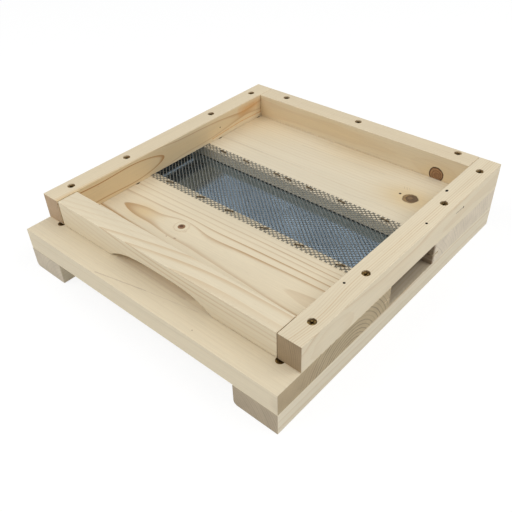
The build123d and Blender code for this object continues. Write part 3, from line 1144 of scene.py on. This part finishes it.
@dataclass
class VentMesh:
    """Expanded zinc mesh in the place of the plain CAD strip, with its strand ends cut open."""

    node: str = "vent_mesh"
    body: str = "board"
    slot: str = "galvanised_mesh"
    long_way: float = 6.0 * MM
    short_way: float = 5.0 * MM
    strand: float = 0.75 * MM
    gauge: float = 0.36 * MM
    unevenness: float = 0.03 * MM
    seed: int = 11

    def __post_init__(self) -> None:
        """Fits a whole number of openings into the CAD strip's box."""
        low, high = (Vector(corner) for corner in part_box(self.node))
        self.low = low
        self.height = high.z - low.z
        self.columns = round((high.x - low.x) / (self.long_way / 2))
        self.rows = round((high.y - low.y) / (self.short_way / 2))
        self.half_pitch = Vector(((high.x - low.x) / self.columns, (high.y - low.y) / self.rows))
        full_way = 2 * self.half_pitch
        self.open_share = 1 - self.strand * full_way.length / (full_way.x * full_way.y)
        self.chance = random.Random(self.seed)
        self.nudges: dict[tuple[int, int], Vector] = {}

    def build(self) -> bpy.types.Object:
        """Cuts and stretches the mesh.

        Returns:
            The mesh object.
        """
        made = add_mesh("expanded_mesh", self._shape())
        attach(made, self.body)
        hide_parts(self.node)
        log.info("%s stands for %s with %d faces", made.name, self.node, len(made.data.polygons))
        return made

    def _shape(self) -> bmesh.types.BMesh:
        """Gives the joints and strands their gauge.

        Returns:
            The closed shape.
        """
        faces = self._faces()
        shape = bmesh.new()
        half_gauge = Vector((0, 0, self.gauge / 2))
        tops: dict[Point, bmesh.types.BMVert] = {}
        bottoms: dict[Point, bmesh.types.BMVert] = {}
        for key in dict.fromkeys(key for face in faces for key in face):
            middle = self._point(key)
            tops[key] = shape.verts.new(middle + half_gauge)
            bottoms[key] = shape.verts.new(middle - half_gauge)
        edges: dict[tuple[Point, Point], None] = {}
        for face in faces:
            shape.faces.new([tops[key] for key in face])
            shape.faces.new([bottoms[key] for key in reversed(face)])
            edges.update(dict.fromkeys(zip(face, face[1:] + face[:1])))
        for first, second in edges:
            if (second, first) not in edges:
                shape.faces.new((tops[second], tops[first], bottoms[first], bottoms[second]))
        return shape

    def _faces(self) -> list[list[Point]]:
        """Lists the joints and strands.

        Returns:
            The corners of every joint and strand, anticlockwise from above.
        """
        turns = list(Side)
        faces: list[list[Point]] = []
        for column in range(self.columns):
            for row in range(self.rows):
                if (column + row) % 2 == 0:
                    continue
                faces.append([(column + s.value[0], row + s.value[1], s.facing) for s in turns])
                for index, side in enumerate(turns):
                    after = turns[(index + 1) % len(turns)]
                    faces.extend(self._strand(column, row, side, after))
        return faces

    def _strand(self, column: int, row: int, side: Side, after: Side) -> list[list[Point]]:
        """Lists the face of the strand that leaves a joint between two openings.

        Args:
            column: The joint's column.
            row: The joint's row.
            side: The first of the two openings.
            after: The next opening, anticlockwise.

        Returns:
            One face, cut off halfway at an edge of the mesh, or none if the far joint makes it.
        """
        across, up = (a + b for a, b in zip(side.value, after.value))
        inside = 0 <= column + across < self.columns and 0 <= row + up < self.rows
        if inside and up < 0:
            return []
        first = (column + side.value[0], row + side.value[1])
        second = (column + after.value[0], row + after.value[1])
        first_near, first_far = (*first, side.facing), (*first, after)
        second_near, second_far = (*second, after.facing), (*second, side)
        if inside:
            return [[first_near, first_far, second_far, second_near]]
        return [[first_near, (first_near, first_far), (second_near, second_far), second_near]]

    def _point(self, key: Point) -> Vector:
        """Gives the place of a corner, or of the middle between two corners.

        Args:
            key: The corner, or the two corners.

        Returns:
            The place, halfway through the gauge.
        """
        if isinstance(key[0], tuple):
            first, second = key
            return (self._point(first) + self._point(second)) / 2
        column, row, side = key
        nudge = self.nudges.setdefault(
            (column, row),
            Vector((self.chance.uniform(-1, 1), self.chance.uniform(-1, 1))) * self.unevenness,
        )
        across = (column + HALF + side.value[0] * self.open_share) * self.half_pitch.x + nudge.x
        up = (row + HALF + side.value[1] * self.open_share) * self.half_pitch.y + nudge.y
        tilt = side.value[1] * (self.height - self.gauge) / 2
        return self.low + Vector((across, up, self.height / 2 + tilt))


@dataclass
class Metalwork:
    """The mesh, the sheet, the screws and the staples."""

    nodes: dict[str, bpy.types.Object]
    groups: MetalGroups
    zinc: MetalFinish = MetalFinish(
        name="dull_zinc", bright=srgb(128, 129, 125), dull=srgb(115, 115, 110),
        smooth=0.42, rough=0.60, lump=(5.0, 5.0, 4.0), seed=1.0, metallic=0.8,
    )
    bright: MetalFinish = MetalFinish(
        name="bright_sheet", bright=srgb(162, 181, 196), dull=srgb(156, 175, 190),
        smooth=0.11, rough=0.15, lump=(140.0, 40.0, 40.0), seed=2.0, relief=0.0,
    )
    brass: MetalFinish = MetalFinish(
        name="yellow_zinc", bright=srgb(150, 124, 76), dull=srgb(80, 64, 40),
        smooth=0.28, rough=0.50, lump=(2.5, 2.5, 2.5), seed=3.0,
    )
    bronze: MetalFinish = MetalFinish(
        name="dull_bronze", bright=srgb(126, 108, 80), dull=srgb(84, 68, 46),
        smooth=0.40, rough=0.62, lump=(3.0, 3.0, 3.0), seed=4.0, metallic=0.9,
    )

    def dress(self) -> None:
        """Builds the mesh and gives every metal piece its finish."""
        mesh = VentMesh().build()
        mesh.data.materials.append(self.zinc.material(self.groups))
        paint(self.nodes["slide_sheet"], self.bright.material(self.groups))
        screw_material = self.brass.material(self.groups)
        staple_material = self.bronze.material(self.groups)
        for name, node in self.nodes.items():
            if name.endswith("_screws"):
                paint(node, screw_material)
            elif name.endswith("_staples"):
                paint(node, staple_material)


@dataclass
class Studio:
    """A white floor, a pale sky, soft lamps and the camera. Lengths are in metres."""

    floor_width: float = 8.0
    floor_tone: float = 0.9
    shadow_share: float = 0.2
    open_light: float = 0.75
    sky_tint: Triple = (0.93, 0.97, 1.0)
    sky_strength: float = 0.38
    left_window: Triple = (-0.85, -1.35, 1.72)
    right_window: Triple = (1.28, 0.6, 1.76)
    window_target: Triple = (0.0, 0.0, 0.05)
    window_width: float = 1.6
    window_power: float = 20.8
    window_tint: Triple = (1.0, 0.98, 0.95)
    camera_place: Triple = (0.3725, -0.4215, 0.4350)
    camera_target: Triple = (0.0584, -0.0920, 0.0500)
    camera_roll: float = 2.91
    camera_lens: float = 43.55
    camera_shift: tuple[float, float] = (0.0130, 0.0309)
    camera_near: float = 0.01

    def build(self) -> None:
        """Sets up the floor, the light and the camera."""
        bpy.context.scene.view_settings.view_transform = "Standard"
        self._floor()
        self._sky()
        self._lamp("left_window", self.left_window)
        self._lamp("right_window", self.right_window)
        self._camera()

    @staticmethod
    def _close(wiring: Wiring, lighting: Feed, shown: Feed, output: str) -> None:
        """Ends a tree with one shader that lights the object and another that the camera sees.

        Args:
            wiring: The wiring of the tree.
            lighting: The shader that lights the object.
            shown: The shader that is seen, straight on or in metal or glass.
            output: The type name of the tree's output node.
        """
        path = wiring.node("ShaderNodeLightPath")
        seen = path.outputs["Is Camera Ray"]
        for ray in ("Is Glossy Ray", "Is Transmission Ray"):
            seen = wiring.math("MAXIMUM", seen, path.outputs[ray])
        choice = wiring.node("ShaderNodeMixShader")
        wiring.fill(choice.inputs, (seen, lighting, shown))
        wiring.supply(wiring.node(output), Surface=choice.outputs["Shader"])

    def _floor(self) -> None:
        """Lays the floor, which shows white where no shadow falls."""
        shape = bmesh.new()
        bmesh.ops.create_grid(shape, x_segments=2, y_segments=2, size=self.floor_width / 2)
        floor = add_mesh("floor", shape)

        material = bpy.data.materials.new("white_floor")
        wiring = Wiring.blank(material)
        pale = (self.floor_tone, self.floor_tone, self.floor_tone, 1.0)
        plain = wiring.supply(wiring.node("ShaderNodeBsdfDiffuse"), Color=pale)
        dark = (self.shadow_share, self.shadow_share, self.shadow_share, 1.0)
        shaded = wiring.supply(wiring.node("ShaderNodeBsdfDiffuse"), Color=dark)
        own_light = 1.0 - self.open_light * self.shadow_share
        glow = wiring.supply(wiring.node("ShaderNodeEmission"), Strength=own_light)
        white = wiring.node("ShaderNodeAddShader")
        wiring.fill(white.inputs, (shaded.outputs["BSDF"], glow.outputs["Emission"]))
        self._close(wiring, plain.outputs["BSDF"], white.outputs["Shader"], "ShaderNodeOutputMaterial")
        floor.data.materials.append(material)

    def _sky(self) -> None:
        """Lights the object evenly and shows white behind it."""
        world = bpy.data.worlds.new("pale_sky")
        bpy.context.scene.world = world
        wiring = Wiring.blank(world)
        tint = (*self.sky_tint, 1.0)
        light = wiring.supply(wiring.node("ShaderNodeBackground"), Color=tint, Strength=self.sky_strength)
        shown = wiring.supply(wiring.node("ShaderNodeBackground"), Color=WHITE, Strength=1.0)
        backdrop = (light.outputs["Background"], shown.outputs["Background"])
        self._close(wiring, *backdrop, "ShaderNodeOutputWorld")

    @staticmethod
    def _facing(place: Triple, target: Triple) -> Quaternion:
        """Gives the turn of a lamp or camera that faces a point."""
        return (Vector(target) - Vector(place)).to_track_quat("-Z", "Y")

    def _lamp(self, name: str, place: Triple) -> None:
        """Hangs a soft square lamp, like a window.

        Args:
            name: The lamp's name.
            place: Where it hangs.
        """
        data = bpy.data.lights.new(name, "AREA")
        data.size = self.window_width
        data.energy = self.window_power
        data.color = self.window_tint
        lamp = add_object(name, data)
        lamp.location = place
        lamp.rotation_euler = self._facing(place, self.window_target).to_euler()

    def _camera(self) -> None:
        """Puts the camera where the photograph was taken from."""
        data = bpy.data.cameras.new("camera")
        data.lens = self.camera_lens
        data.shift_x, data.shift_y = self.camera_shift
        data.clip_start = self.camera_near
        camera = add_object("camera", data)
        aim = self._facing(self.camera_place, self.camera_target)
        roll = Quaternion(UPWARD, -math.radians(self.camera_roll))
        camera.location = self.camera_place
        camera.rotation_euler = (aim @ roll).to_euler()
        bpy.context.scene.camera = camera


def main() -> None:
    """Loads the frame, dresses every piece, and sets up the studio."""
    logging.basicConfig(level=logging.INFO, format="%(message)s")
    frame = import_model()
    Woodwork(frame["nodes"], PineGroups()).dress()
    Metalwork(frame["nodes"], MetalGroups()).dress()
    Studio().build()


if __name__ == "__main__":
    main()
